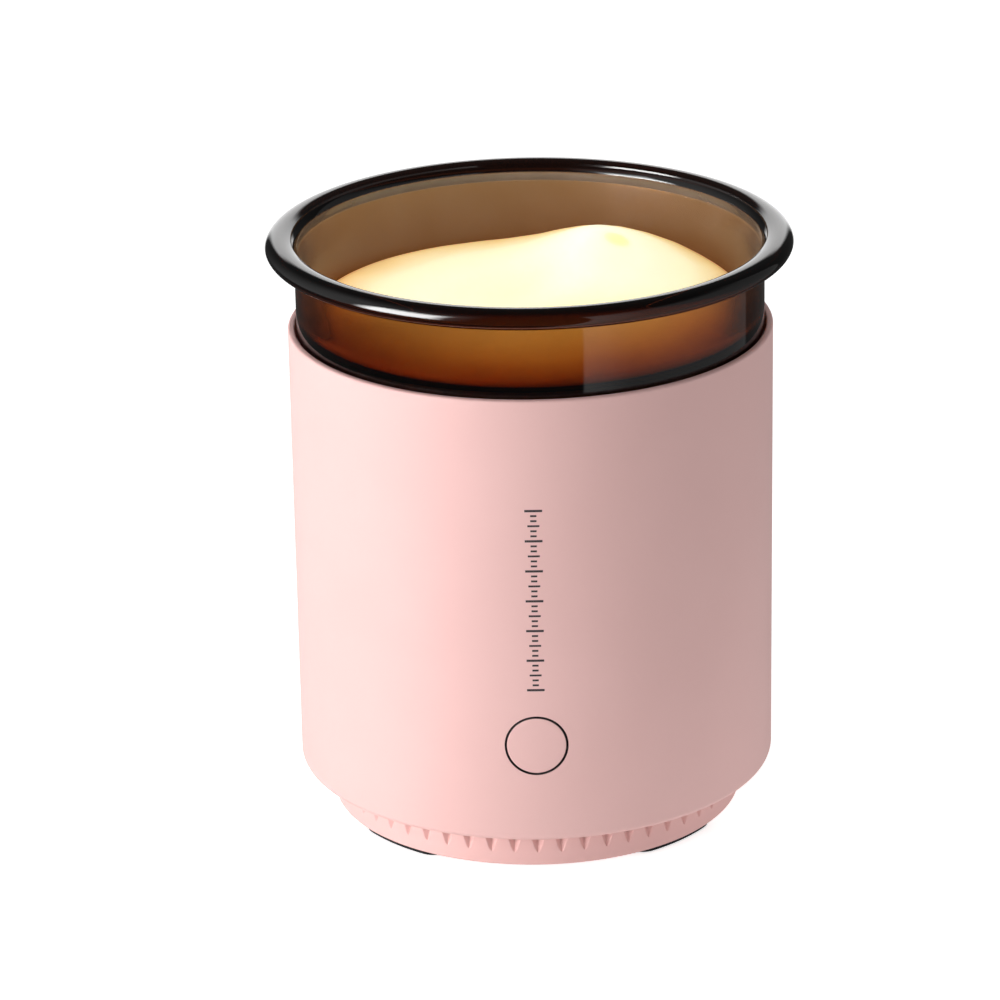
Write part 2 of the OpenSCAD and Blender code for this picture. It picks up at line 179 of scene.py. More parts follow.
def machined(name, colour, rough=0.3, rings=0.0, streak=0.0, spread=0.08, pit=0.0):
    """Metals: turned rings round the object's axis, or short rolled streaks, over slow stains."""
    m, n, out, place = new_material(name)
    split = n.add("ShaderNodeSeparateXYZ", {"Vector": place})
    x, y, z = split.outputs[0], split.outputs[1], split.outputs[2]
    radius = n.math("SQRT", n.math("ADD", n.math("MULTIPLY", x, x), n.math("MULTIPLY", y, y)))
    stain = n.noise(place, 120.0, 4.0, 0.6)
    level = n.math("ADD", n.math("MULTIPLY", n.math("SUBTRACT", stain, 0.5), 2 * spread), rough)
    height = n.math("MULTIPLY", n.noise(place, 2500.0, 3.0, 0.6), 0.3 + pit)
    if rings:
        wave = n.math("SINE", n.math("MULTIPLY", radius, 2 * math.pi / rings))
        wobble = n.noise(n.add("ShaderNodeCombineXYZ", {"X": radius, "Y": 0.0, "Z": z}).outputs[0], 1600.0, 2.0)
        height = n.math("ADD", height, n.math("ADD", n.math("MULTIPLY", wave, 0.35), wobble))
    if streak:
        along = n.add("ShaderNodeCombineXYZ", {"X": n.math("MULTIPLY", x, 0.06), "Y": y, "Z": z}).outputs[0]
        height = n.math("ADD", height, n.math("MULTIPLY", n.noise(along, streak, 3.0), 0.8))
    tint = n.mix(n.map(stain, 0.3, 0.7), rgb(*(c * 0.93 for c in colour)), rgb(*colour))
    shader = n.add("ShaderNodeBsdfPrincipled", {
        "Base Color": tint, "Metallic": 1.0, "Roughness": level, "Normal": n.bump(height, 3e-6)})
    n.link(shader.outputs[0], out.inputs["Surface"])
    return m


# ---------------------------------------------------------------- materials


def soft_pink():
    """Soft-touch pink: a matt moulded skin with a very fine spark texture."""
    m, n, out, place = new_material("soft_pink")
    spark = n.noise(place, 4200.0, 2.0, 0.65)
    cloud = n.noise(place, 500.0, 3.0, 0.5)
    slow = n.noise(place, 38.0, 2.0)
    tint = n.mix(n.map(slow, 0.3, 0.7), rgb(0.788, 0.496, 0.472), rgb(0.806, 0.510, 0.486))
    tint = n.mix(n.map(spark, 0.62, 0.8, 0.0, 0.10), tint, rgb(0.86, 0.60, 0.58))
    # the walls of the gap round the button are painted black, as painted shade in the gap
    split = n.add("ShaderNodeSeparateXYZ", {"Vector": place})
    x, y, z = split.outputs[0], split.outputs[1], split.outputs[2]
    rise = n.math("SUBTRACT", z, 0.02975)
    ring = n.math("SQRT", n.math("ADD", n.math("MULTIPLY", x, x), n.math("MULTIPLY", rise, rise)))
    skin_at = n.math("SQRT", n.math("ADD", n.math("MULTIPLY", x, x), n.math("MULTIPLY", y, y)))
    gap = n.math("MULTIPLY", n.math("MULTIPLY", n.map(ring, 0.00566, 0.00572), n.map(ring, 0.00634, 0.00628)),
                 n.math("MULTIPLY", n.map(skin_at, 0.04798, 0.04792), n.map(y, -0.030, -0.034)))
    tint = n.mix(gap, tint, rgb(0.030, 0.022, 0.022))
    # and the bottoms of the flutes are painted darker, as painted shade in the recesses
    flute = n.math("MULTIPLY", n.math("MULTIPLY", n.map(skin_at, 0.0409, 0.0400), n.map(skin_at, 0.0393, 0.0395)),
                   n.math("MULTIPLY", n.map(z, 0.0036, 0.0042), n.map(z, 0.01, 0.0094)))
    tint = n.mix(n.math("MULTIPLY", flute, 0.7), tint, rgb(0.34, 0.16, 0.14))
    level = n.math("ADD", n.math("MULTIPLY", n.math("SUBTRACT", cloud, 0.5), 0.10), 0.62)
    shader = n.add("ShaderNodeBsdfPrincipled", {
        "Base Color": tint,
        "Roughness": level,
        "Specular IOR Level": 0.42,
        "Sheen Weight": 0.04,
        "Sheen Roughness": 0.5,
        "Normal": n.bump(n.math("ADD", spark, n.math("MULTIPLY", cloud, 0.6)), 5e-6, 0.6),
    })
    n.link(shader.outputs[0], out.inputs["Surface"])
    return m


def amber_glass():
    """Amber glass: tinted clear glass, deeper in the thick lip, with pressed waves and a film of wax inside."""
    m, n, out, place = new_material("amber_glass")
    split = n.add("ShaderNodeSeparateXYZ", {"Vector": place})
    x, y, z = split.outputs[0], split.outputs[1], split.outputs[2]
    radius = n.math("SQRT", n.math("ADD", n.math("MULTIPLY", x, x), n.math("MULTIPLY", y, y)))
    wave = n.noise(place, 60.0, 2.0, 0.4)
    surface = n.bump(wave, 3e-5, 0.25)
    inner = n.math("MULTIPLY", n.map(radius, 0.0461, 0.0459), n.map(z, 0.1165, 0.1160))
    haze = n.math("ADD", n.math("MULTIPLY", inner, 0.20), n.math("MULTIPLY", n.map(n.noise(place, 160.0, 3.0), 0.45, 0.8, 0.6, 1.4), 0.015))
    in_lip = n.math("MAXIMUM", n.math("MULTIPLY", n.map(radius, 0.0464, 0.0469), n.map(z, 0.1145, 0.1152)), n.map(z, 0.1171, 0.1175))
    tint = n.mix(in_lip, rgb(0.40, 0.208, 0.066), rgb(0.030, 0.013, 0.008))
    glass = n.add("ShaderNodeBsdfPrincipled", {
        "Base Color": tint,
        "Roughness": haze,
        "IOR": 1.5,
        "Specular IOR Level": n.math("ADD", 0.5, n.math("MULTIPLY", inner, -0.40)),
        "Specular Tint": n.mix(inner, rgb(1, 1, 1), rgb(0.2, 0.2, 0.2)),
        "Transmission Weight": 1.0,
        "Normal": surface,
    })
    # the thin, uneven film that wax leaves on the inside of the wall
    inside = n.math("MULTIPLY", n.map(radius, 0.0461, 0.0459), n.math("MULTIPLY", n.map(z, 0.1030, 0.1040), n.map(z, 0.1175, 0.1170)))
    smear = n.map(n.noise(place, 130.0, 4.0, 0.6), 0.30, 0.75, 0.08, 0.14)
    dried = n.math("MULTIPLY", n.map(z, 0.1152, 0.1158), n.map(y, 0.010, 0.034, 0.0, 0.18))
    smear = n.math("ADD", smear, dried)
    film = n.add("ShaderNodeBsdfDiffuse", {"Color": rgb(0.60, 0.46, 0.36)})
    wall = n.add("ShaderNodeMixShader", {0: n.math("MULTIPLY", inside, smear), 1: glass.outputs[0], 2: film.outputs[0]})
    clear = n.add("ShaderNodeBsdfTransparent", {"Color": rgb(0.55, 0.40, 0.26)})
    path = n.add("ShaderNodeLightPath")
    mixed = n.add("ShaderNodeMixShader", {0: path.outputs["Is Shadow Ray"], 1: wall.outputs[0], 2: clear.outputs[0]})
    n.link(mixed.outputs[0], out.inputs["Surface"])
    body = n.add("ShaderNodeVolumeAbsorption", {"Color": rgb(0.60, 0.32, 0.04), "Density": 500.0})
    n.link(body.outputs[0], out.inputs["Volume"])
    return m


def cream_wax():
    """Poured wax: pale and translucent, with a painted glow for the light from below, and painted amber light that
    makes it deeper and more orange toward the glass.
    """
    m, n, out, place = new_material("cream_wax")
    split = n.add("ShaderNodeSeparateXYZ", {"Vector": place})
    x, y, z = split.outputs[0], split.outputs[1], split.outputs[2]
    radius = n.math("SQRT", n.math("ADD", n.math("MULTIPLY", x, x), n.math("MULTIPLY", y, y)))
    slow = n.noise(place, 55.0, 3.0, 0.5)
    edge = n.math("ADD", radius, n.math("MULTIPLY", n.math("SUBTRACT", slow, 0.5), 0.006))
    place_in = n.map(edge, 0.0, 0.0440, 0.0, 1.0, smooth=False)
    # painted amber light: the colour turns deeper and orange toward the glass
    tint = n.ramp(place_in, [
        (0.0, (0.97, 0.95, 0.82)), (0.50, (0.97, 0.95, 0.84)), (0.72, (0.96, 0.93, 0.75)),
        (0.88, (0.95, 0.76, 0.42)), (1.0, (0.88, 0.52, 0.20))])
    # painted glow: emission for the light from below, yellow in the middle and fading to deep orange at the glass
    painted_glow = n.ramp(place_in, [
        (0.0, (0.55, 0.51, 0.22)), (0.50, (0.60, 0.58, 0.36)), (0.72, (0.66, 0.60, 0.33)),
        (0.88, (0.54, 0.36, 0.14)), (1.0, (0.26, 0.09, 0.01))])
    # painted light and shade: the front of the block is darker on the left and brighter and warmer on the right, in its
    # colour and its painted glow
    front = n.map(y, -0.006, -0.022)
    side = n.map(x, -0.036, 0.0, 0.50, 1.0)
    share = n.math("MULTIPLY", side, n.map(x, 0.0, 0.034, 0.8, 1.0))
    painted_front_light = n.mix(front, rgb(1, 1, 1), n.mix(share, rgb(0, 0, 0), rgb(1.25, 1.15, 0.87)))
    tint, painted_glow = n.times(tint, painted_front_light), n.times(painted_glow, painted_front_light)
    # a small yellow spot on the hill, in the colour and, further down, in the painted glow
    dx = n.math("DIVIDE", n.math("SUBTRACT", x, 0.0174), 0.0026)
    dy = n.math("DIVIDE", n.math("SUBTRACT", y, 0.0072), 0.0042)
    spot = n.map(n.math("ADD", n.math("MULTIPLY", dx, dx), n.math("MULTIPLY", dy, dy)), 0.0, 1.8, 1.0, 0.0)
    tint = n.mix(n.math("MULTIPLY", spot, 0.65), tint, rgb(0.95, 0.86, 0.40))
    # the painted glow fades where the wax stands behind the shell's top edge, and comes back in the deep part of the
    # pot
    depth = n.math("ADD", n.map(z, 0.1012, 0.1046), n.math("MULTIPLY", n.map(z, 0.0975, 0.0940), 0.7))
    painted_glow = n.mix(n.math("MULTIPLY", spot, 0.65), painted_glow, rgb(0.60, 0.48, 0.05))
    skin = n.noise(place, 700.0, 4.0, 0.6)
    pock = n.noise(place, 160.0, 2.0, 0.5)
    surface = n.bump(n.math("ADD", n.math("MULTIPLY", skin, 0.25), pock), 1.2e-4, 0.35)
    level = n.math("ADD", 0.36, n.math("MULTIPLY", skin, 0.16))
    shader = n.add("ShaderNodeBsdfPrincipled", {
        "Base Color": tint,
        "Roughness": level,
        "IOR": 1.44,
        "Specular IOR Level": 0.4,
        "Subsurface Weight": 0.35,
        "Subsurface Radius": (0.0030, 0.0022, 0.0010),
        "Subsurface Scale": 1.0,
        "Emission Color": painted_glow,
        "Emission Strength": depth,
        "Normal": surface,
    })
    n.link(shader.outputs[0], out.inputs["Surface"])
    return m


def circuit_board():
    """Green solder mask with copper tracks under it and bare pads."""
    m, n, out, place = new_material("circuit_board")
    split = n.add("ShaderNodeSeparateXYZ", {"Vector": place})
    x, y, z = split.outputs[0], split.outputs[1], split.outputs[2]
    height = n.math("ADD", y, z)
    bend = n.math("MULTIPLY", n.math("SUBTRACT", n.noise(place, 90.0, 0.0), 0.5), 0.006)
    line = n.math("ABSOLUTE", n.math("SINE", n.math("MULTIPLY", n.math("ADD", x, bend), 2 * math.pi / 0.0036)))
    cross = n.math("ABSOLUTE", n.math("SINE", n.math("MULTIPLY", n.math("ADD", height, bend), 2 * math.pi / 0.0044)))
    track = n.math("MAXIMUM", n.map(line, 0.93, 0.96), n.math("MULTIPLY", n.map(cross, 0.94, 0.97),
                   n.map(n.noise(place, 60.0, 0.0), 0.48, 0.5)))
    pad = n.add("ShaderNodeTexVoronoi", {"Vector": place, "Scale": 260.0, "Randomness": 0.35}).outputs["Distance"]
    pads = n.math("MULTIPLY", n.map(pad, 0.20, 0.16), n.map(n.noise(place, 70.0, 0.0), 0.52, 0.56))
    mask = n.mix(track, rgb(0.018, 0.120, 0.060), rgb(0.050, 0.240, 0.110))
    tint = n.mix(pads, mask, rgb(0.72, 0.70, 0.64))
    shader = n.add("ShaderNodeBsdfPrincipled", {
        "Base Color": tint,
        "Metallic": n.math("MULTIPLY", pads, 0.9),
        "Roughness": n.math("ADD", 0.28, n.math("MULTIPLY", n.noise(place, 900.0, 2.0), 0.12)),
        "Normal": n.bump(n.math("ADD", track, n.math("MULTIPLY", n.noise(place, 3000.0, 2.0), 0.15)), 1.5e-5),
    })
    n.link(shader.outputs[0], out.inputs["Surface"])
    return m


def frosted_window():
    """Sand-blasted glass, with a painted glow in the middle for the light from behind."""
    m, n, out, place = new_material("frosted_window")
    split = n.add("ShaderNodeSeparateXYZ", {"Vector": place})
    x, y = split.outputs[0], split.outputs[1]
    radius = n.math("SQRT", n.math("ADD", n.math("MULTIPLY", x, x), n.math("MULTIPLY", y, y)))
    painted_glow = n.map(radius, 0.0135, 0.0, 0.12, 0.9)
    frost = n.noise(place, 5200.0, 3.0, 0.7)
    shader = n.add("ShaderNodeBsdfPrincipled", {
        "Base Color": n.mix(frost, rgb(0.86, 0.86, 0.82), rgb(0.96, 0.96, 0.93)),
        "Roughness": 0.55,
        "Transmission Weight": 0.35,
        "Emission Color": rgb(1.0, 0.86, 0.52),
        "Emission Strength": painted_glow,
        "Normal": n.bump(frost, 1.2e-5),
    })
    n.link(shader.outputs[0], out.inputs["Surface"])
    return m


PINK = soft_pink()
GLASS = amber_glass()
WAX = cream_wax()
BOARD = circuit_board()
WINDOW = frosted_window()
RUBBER = moulded("black_rubber", (0.014, 0.014, 0.015), rough=0.70, grain=2600, grain_depth=1.4e-5, spread=0.10, specular=0.12)
INK = moulded("print_ink", (0.030, 0.024, 0.026), rough=0.55, grain=6000, grain_depth=2e-6)
STEEL = machined("zinc_steel", (0.60, 0.61, 0.63), rough=0.30, spread=0.12)
CLAMP = machined("clamp_steel", (0.63, 0.63, 0.62), rough=0.26, streak=1400.0)
NYLON = moulded("white_nylon", (0.78, 0.78, 0.75), rough=0.46, grain=3200, grain_depth=6e-6, specular=0.45)
SILICONE = moulded("silicone", (0.70, 0.70, 0.67), rough=0.42, grain=2200, grain_depth=5e-6, spread=0.08)
PLATE = machined("turned_aluminium", (0.78, 0.79, 0.81), rough=0.24, rings=0.00055)
STONE = moulded("heater_ceramic", (0.44, 0.43, 0.39), rough=0.62, grain=1800, grain_depth=1.5e-5, mottle=0.08)
STEATITE = moulded("ceramic_white", (0.82, 0.80, 0.75), rough=0.40, grain=1500, grain_depth=6e-6)
BRASS = machined("brass_can", (0.78, 0.60, 0.30), rough=0.28, spread=0.10)
REFLECT = moulded("reflector_white", (0.93, 0.93, 0.91), rough=0.18, grain=3000, grain_depth=1e-6)
PHOSPHOR = moulded("led_phosphor", (0.95, 0.80, 0.30), rough=0.35, grain=2500, grain_depth=4e-6, emit=(1.0, 0.83, 0.45), emit_strength=1.5)
BLACK = moulded("black_component", (0.018, 0.018, 0.020), rough=0.48, grain=3400, grain_depth=6e-6, spread=0.08)
SLEEVE = moulded("capacitor_sleeve", (0.045, 0.06, 0.14), rough=0.24, grain=1200, grain_depth=2e-6)
FERRITE = moulded("inductor_ferrite", (0.060, 0.058, 0.060), rough=0.58, grain=1600, grain_depth=1.6e-5, mottle=0.12)
HEADER = moulded("header_white", (0.84, 0.82, 0.76), rough=0.34, grain=2800, grain_depth=3e-6)
RED = moulded("wire_red", (0.50, 0.022, 0.016), rough=0.38, grain=1800, grain_depth=4e-6)
DARK = moulded("wire_black", (0.020, 0.020, 0.021), rough=0.40, grain=1800, grain_depth=4e-6)
NICKEL = machined("socket_nickel", (0.70, 0.70, 0.70), rough=0.20, streak=1800.0)
GREY = moulded("stem_grey", (0.16, 0.16, 0.165), rough=0.32, grain=2600, grain_depth=3e-6)

LOOKS = {
    "outer_shell": PINK, "base_cover": PINK, "button_cap": PINK, "rubber_feet": RUBBER,
    "base_screws": STEEL, "inner_liner": NYLON, "seat_gasket": SILICONE, "heater_plate": PLATE,
    "plate_standoffs": STEATITE, "ptc_heaters": STONE, "heater_clamp": CLAMP, "clamp_screws": STEEL,
    "thermal_fuse": BRASS, "thermistor": BRASS, "light_window": WINDOW, "light_reflector": REFLECT,
    "led_board": BOARD, "led_chips": PHOSPHOR, "main_board": BOARD, "board_screws": STEEL,
    "control_chip": BLACK, "power_transistors": BLACK, "filter_capacitor": SLEEVE,
    "power_inductor": FERRITE, "wire_headers": HEADER, "long_posts": NYLON, "board_posts": BRASS, "heater_leads": RED, "led_leads": DARK,
    "usb_socket_shell": NICKEL, "usb_socket_tongue": BLACK, "button_bracket": NYLON,
    "bracket_screws": STEEL, "button_board": BOARD, "button_board_screws": STEEL,
    "button_header": BRASS, "switch_body": BLACK, "switch_stem": GREY, "glass_pot": GLASS,
    "wax_block": WAX,
}
for name, node in nodes.items():
    node.data.materials.clear()
    node.data.materials.append(LOOKS[name])

# ---------------------------------------------------------------- mesh helpers


def arc(cx, cz, r, a0, a1, n):
    return earc(cx, cz, r, r, a0, a1, n)


def earc(cx, cz, ra, rb, a0, a1, n):
    turns = [math.radians(a0 + (a1 - a0) * i / n) for i in range(n + 1)]
    return [(cx + ra * math.cos(t), cz + rb * math.sin(t)) for t in turns]


def bezier(p0, p1, p2, p3, n):
    made = []
    for i in range(n + 1):
        t = i / n
        k = ((1 - t) ** 3, 3 * t * (1 - t) ** 2, 3 * t * t * (1 - t), t ** 3)
        made.append(tuple(sum(w * p[j] for w, p in zip(k, (p0, p1, p2, p3))) for j in (0, 1)))
    return made


def finish_piece(name, mesh, material, body, replaced=(), sharp=32.0):
    for p in mesh.polygons:
        p.use_smooth = True
    mesh.set_sharp_from_angle(angle=math.radians(sharp))
    mesh.materials.clear()
    mesh.materials.append(material)
    piece = bpy.data.objects.new(name, mesh)
    scene.collection.objects.link(piece)
    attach(piece, body)
    if replaced:
        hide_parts(*replaced)
    return piece


def ring_mesh(name, rings, closed_loop):
    """A mesh from rings of equal point counts; a ring of one point is a pole. In metres."""
    verts, index = [], []
    for ring in rings:
        index.append(list(range(len(verts), len(verts) + len(ring))))
        verts.extend(ring)
    faces = []
    pairs = list(zip(index, index[1:])) + ([(index[-1], index[0])] if closed_loop else [])
    for a, b in pairs:
        n = max(len(a), len(b))
        for k in range(n):
            j = (k + 1) % n
            if len(a) == 1 and len(b) == 1:
                continue
            if len(a) == 1:
                faces.append((a[0], b[j], b[k]))
            elif len(b) == 1:
                faces.append((a[k], a[j], b[0]))
            else:
                faces.append((a[k], a[j], b[j], b[k]))
    mesh = bpy.data.meshes.new(name)
    mesh.from_pydata(verts, [], faces)
    bm = bmesh.new()
    bm.from_mesh(mesh)
    bmesh.ops.recalc_face_normals(bm, faces=bm.faces)
    bm.to_mesh(mesh)
    bm.free()
    mesh.update()
    return mesh


def lathe_rings(profile, n):
    rings = []
    for r, z in profile:
        if r < 1e-6:
            rings.append([(0.0, 0.0, z * MM)])
        else:
            rings.append([(r * MM * math.cos(2 * math.pi * k / n), r * MM * math.sin(2 * math.pi * k / n), z * MM)
                          for k in range(n)])
    return rings


def lathe(name, profile, n=256):
    on_axis = profile[0][0] < 1e-6 and profile[-1][0] < 1e-6
    return ring_mesh(name, lathe_rings(profile, n), not on_axis)


def cut(mesh, cutters):
    """The mesh with each cutter mesh taken away."""
    solid = bpy.data.objects.new("solid", mesh)
    scene.collection.objects.link(solid)
    tools = []
    for c in cutters:
        tool = bpy.data.objects.new("tool", c)
        scene.collection.objects.link(tool)
        tools.append(tool)
        m = solid.modifiers.new("cut", "BOOLEAN")
        m.operation, m.solver, m.object = "DIFFERENCE", "EXACT", tool
    made = bpy.data.meshes.new_from_object(solid.evaluated_get(bpy.context.evaluated_depsgraph_get()))
    for o in [solid, *tools]:
        bpy.data.objects.remove(o)
    return made


def prism_y(outline, y0, y1):
    """A closed prism along Y from an outline of (x, z) points, in millimetres."""
    n = len(outline)
    verts = [(x * MM, y0 * MM, z * MM) for x, z in outline] + [(x * MM, y1 * MM, z * MM) for x, z in outline]
    faces = [tuple(range(n)), tuple(range(2 * n - 1, n - 1, -1))]
    faces += [(k, n + k, n + (k + 1) % n, (k + 1) % n) for k in range(n)]
    mesh = bpy.data.meshes.new("prism")
    mesh.from_pydata(verts, [], faces)
    bm = bmesh.new()
    bm.from_mesh(mesh)
    bmesh.ops.recalc_face_normals(bm, faces=bm.faces)
    bm.to_mesh(mesh)
    bm.free()
    return mesh


def round_rims(piece, near, width, segments=3):
    """Rounds the edges whose two ends both satisfy near(x, y, z), in millimetres."""
    mesh = piece.data
    weight = mesh.attributes.new("bevel_weight_edge", "FLOAT", "EDGE")
    ok = [near(*(c / MM for c in v.co)) for v in mesh.vertices]
    weight.data.foreach_set("value", [1.0 if ok[e.vertices[0]] and ok[e.vertices[1]] else 0.0 for e in mesh.edges])
    m = piece.modifiers.new("rims", "BEVEL")
    m.limit_method, m.width, m.segments = "WEIGHT", width * MM, segments
    m.harden_normals = True
    m.use_clamp_overlap = True


# ---------------------------------------------------------------- housing

BODY_R = 48.0
BUTTON_Z = 29.75
BUTTON_R = 5.8
HOLE_R = 6.2
USB_Z = 19.23

shell_profile = (
    [(39.7, 9.34)]
    + arc(46.8, 10.54, 1.2, -90, 0, 12)
    + arc(47.5, 100.1, 0.5, 0, 90, 8)
    + arc(46.98, 100.32, 0.28, 90, 180, 5)
    + [(46.7, 95.0), (45.8, 95.0), (45.8, 11.54), (39.7, 11.54)]
)
circle = [(HOLE_R * math.cos(2 * math.pi * k / 160), BUTTON_Z + HOLE_R * math.sin(2 * math.pi * k / 160)) for k in range(160)]
stadium = (
    [(2.8 + 3.4 * math.cos(t), USB_Z + 3.4 * math.sin(t)) for t in (math.pi * (i / 32 - 0.5) for i in range(33))]
    + [(-2.8 + 3.4 * math.cos(t), USB_Z + 3.4 * math.sin(t)) for t in (math.pi * (i / 32 + 0.5) for i in range(33))]
)
shell_mesh = cut(lathe("housing", shell_profile, 480), [prism_y(circle, -52, -38), prism_y(stadium, 40, 52)])
shell = finish_piece("housing", shell_mesh, PINK, "housing", ["outer_shell"])


def on_rim(x, y, z):
    if abs(math.hypot(x, y) - BODY_R) > 0.02:
        return False
    if y < 0:
        return abs(math.hypot(x, z - BUTTON_Z) - HOLE_R) < 0.02
    ends = max(0.0, abs(x) - 2.8)
    return abs(math.hypot(ends, z - USB_Z) - 3.4) < 0.02


round_rims(shell, on_rim, 0.15)


def cap_ring(rho, depth=None, flat_y=None, n=160):
    ring = []
    for k in range(n):
        a = 2 * math.pi * k / n
        x, z = rho * math.cos(a), BUTTON_Z + rho * math.sin(a)
        y = flat_y if flat_y is not None else -math.sqrt(BODY_R ** 2 - x * x) + depth
        ring.append((x * MM, y * MM, z * MM))
    return ring


edge_r = 0.2
cap_rings = [[(0.0, -BODY_R * MM, BUTTON_Z * MM)]]
cap_rings += [cap_ring(r, 0.0) for r in (0.8, 1.6, 2.4, 3.2, 4.0, 4.6, 5.1, 5.4)]
cap_rings += [cap_ring(BUTTON_R - edge_r + edge_r * math.sin(math.radians(a)), edge_r * (1 - math.cos(math.radians(a))))
              for a in (0, 15, 30, 45, 60, 75, 90)]
cap_rings += [cap_ring(BUTTON_R, flat_y=-45.0), cap_ring(7.25, flat_y=-45.0), cap_ring(7.4, flat_y=-44.85),
              cap_ring(7.4, flat_y=-43.8), cap_ring(2.0, flat_y=-43.8), cap_ring(2.0, flat_y=-41.3),
              [(0.0, -41.3 * MM, BUTTON_Z * MM)]]
finish_piece("button", ring_mesh("button", cap_rings, False), PINK, "button", ["button_cap"])


def printed_scale():
    """A row of level ticks above the button, printed on the housing's skin."""
    low, high, pitch = 41.5, 78.5, 37.0 / 36
    verts, faces = [], []
    for i in range(37):
        z = low + pitch * i
        half = 1.7 if i % 6 == 0 else (1.15 if i % 3 == 0 else 0.6)
        thick = 0.46 if i % 6 == 0 else 0.38
        steps = 10
        start = len(verts)
        for s in range(steps + 1):
            x = -half + 2 * half * s / steps
            for r in (BODY_R - 0.05, BODY_R + 0.022):
                y = -math.sqrt(r * r - x * x)
                verts += [(x * MM, y * MM, (z - thick / 2) * MM), (x * MM, y * MM, (z + thick / 2) * MM)]
        for s in range(steps):
            a, b = start + 4 * s, start + 4 * (s + 1)
            faces += [(a + 2, b + 2, b + 3, a + 3), (a + 1, b + 1, b, a), (a, b, b + 2, a + 2), (a + 3, b + 3, b + 1, a + 1)]
        last = start + 4 * steps
        faces += [(start, start + 2, start + 3, start + 1), (last + 1, last + 3, last + 2, last)]
    mesh = bpy.data.meshes.new("printed_scale")
    mesh.from_pydata(verts, [], faces)
    bm = bmesh.new()
    bm.from_mesh(mesh)
    bmesh.ops.recalc_face_normals(bm, faces=bm.faces)
    bm.to_mesh(mesh)
    bm.free()
    return finish_piece("printed_scale", mesh, INK, "housing")


printed_scale()

# ---------------------------------------------------------------- base and feet

BASE_R, BASE_LOW, BASE_TOP = 41.36, 1.04, 9.28
FLUTES = 56


def flute_cut(z, along):
    """How deep the flute is at this height, at this distance along the ring from the flute's middle."""
    rise = (z - 3.85) / 5.43
    if rise <= 0:
        return 0.0
    t = abs(along) / (1.2 * min(1.0, rise / 0.55) ** 0.6)
    return 0.0 if t >= 1.0 else 1.65 * rise ** 0.6 * (1 - t ** 1.5)


def base_mesh():
    steps = (-2.2, -1.5, -1.22, -1.14, -1.04, -0.92, -0.78, -0.63, -0.47, -0.31, -0.15, 0.0,
             0.15, 0.31, 0.47, 0.63, 0.78, 0.92, 1.04, 1.14, 1.22, 1.5)
    turns = [(2 * math.pi * i / FLUTES + s / BASE_R, s) for i in range(FLUTES) for s in steps]
    wall = [(BASE_R, z) for z in (1.9, 2.8, 3.6, 3.85, 3.95, 4.08, 4.24, 4.42, 4.62, 4.85, 5.1, 5.4, 5.75, 6.15, 6.6, 7.1, 7.7, 8.3, 8.8)]
    profile = ([(0.0, BASE_LOW), (20.0, BASE_LOW), (36.0, BASE_LOW)] + arc(BASE_R - 0.4, BASE_LOW + 0.4, 0.4, -90, 0, 6) + wall
               + [(BASE_R, BASE_TOP - 0.2), (BASE_R - 0.06, BASE_TOP - 0.06), (BASE_R - 0.2, BASE_TOP), (39.45, BASE_TOP), (39.45, 13.34),
                  (39.33, 13.62), (39.05, 13.74), (38.3, 13.74), (38.3, 3.24), (20.0, 3.24), (0.0, 3.24)])
    rings = []
    for r, z in profile:
        if r < 1e-6:
            rings.append([(0.0, 0.0, z * MM)])
            continue
        ring = []
        for a, s in turns:
            q = r - (flute_cut(z, s) if r > 41.0 else 0.0)
            ring.append((q * MM * math.cos(a), q * MM * math.sin(a), z * MM))
        rings.append(ring)
    return ring_mesh("base", rings, False)


def joined(meshes):
    """One mesh that holds several closed meshes that don't touch."""
    verts, faces = [], []
    for mesh in meshes:
        start = len(verts)
        verts += [tuple(v.co) for v in mesh.vertices]
        faces += [tuple(start + k for k in p.vertices) for p in mesh.polygons]
    made = bpy.data.meshes.new("joined")
    made.from_pydata(verts, [], faces)
    return made


def moved(mesh, angle, dx=0.0, dy=0.0):
    mesh.transform(Matrix.Rotation(math.radians(angle), 4, "Z") @ Matrix.Translation((dx * MM, dy * MM, 0)))
    return mesh


def slab(outline, z0, z1):
    """A closed prism along Z from an outline of (x, y) points, in millimetres."""
    n = len(outline)
    verts = [(x * MM, y * MM, z * MM) for z in (z0, z1) for x, y in outline]
    faces = [tuple(range(n - 1, -1, -1)), tuple(range(n, 2 * n))] + [(k, (k + 1) % n, n + (k + 1) % n, n + k) for k in range(n)]
    mesh = bpy.data.meshes.new("slab")
    mesh.from_pydata(verts, [], faces)
    return mesh


FOOT_OUT, FOOT_W, FOOT_ARC = 40.70, 8.0, 21.0
FOOT_AT = (45, 135, 225, 315)
FOOT_MID = FOOT_OUT - FOOT_W / 2


def pad_outline(half):
    """The outline of one foot about the X axis: an arc-shaped bar with round ends, of this half width."""
    h = math.radians(FOOT_ARC / 2)
    pts = [((FOOT_MID + half) * math.cos(t), (FOOT_MID + half) * math.sin(t)) for t in (-h + 2 * h * i / 20 for i in range(21))]
    for t0, side in ((h, 1), (-h, -1)):
        cx, cy = FOOT_MID * math.cos(t0), FOOT_MID * math.sin(t0)
        for i in range(1, 20):
            a = t0 + math.pi * i / 20 if side > 0 else t0 + math.pi * (1 + i / 20)
            pts.append((cx + half * math.cos(a), cy + half * math.sin(a)))
        if side > 0:
            pts += [((FOOT_MID - half) * math.cos(t), (FOOT_MID - half) * math.sin(t)) for t in (h - 2 * h * i / 20 for i in range(21))]
    return pts


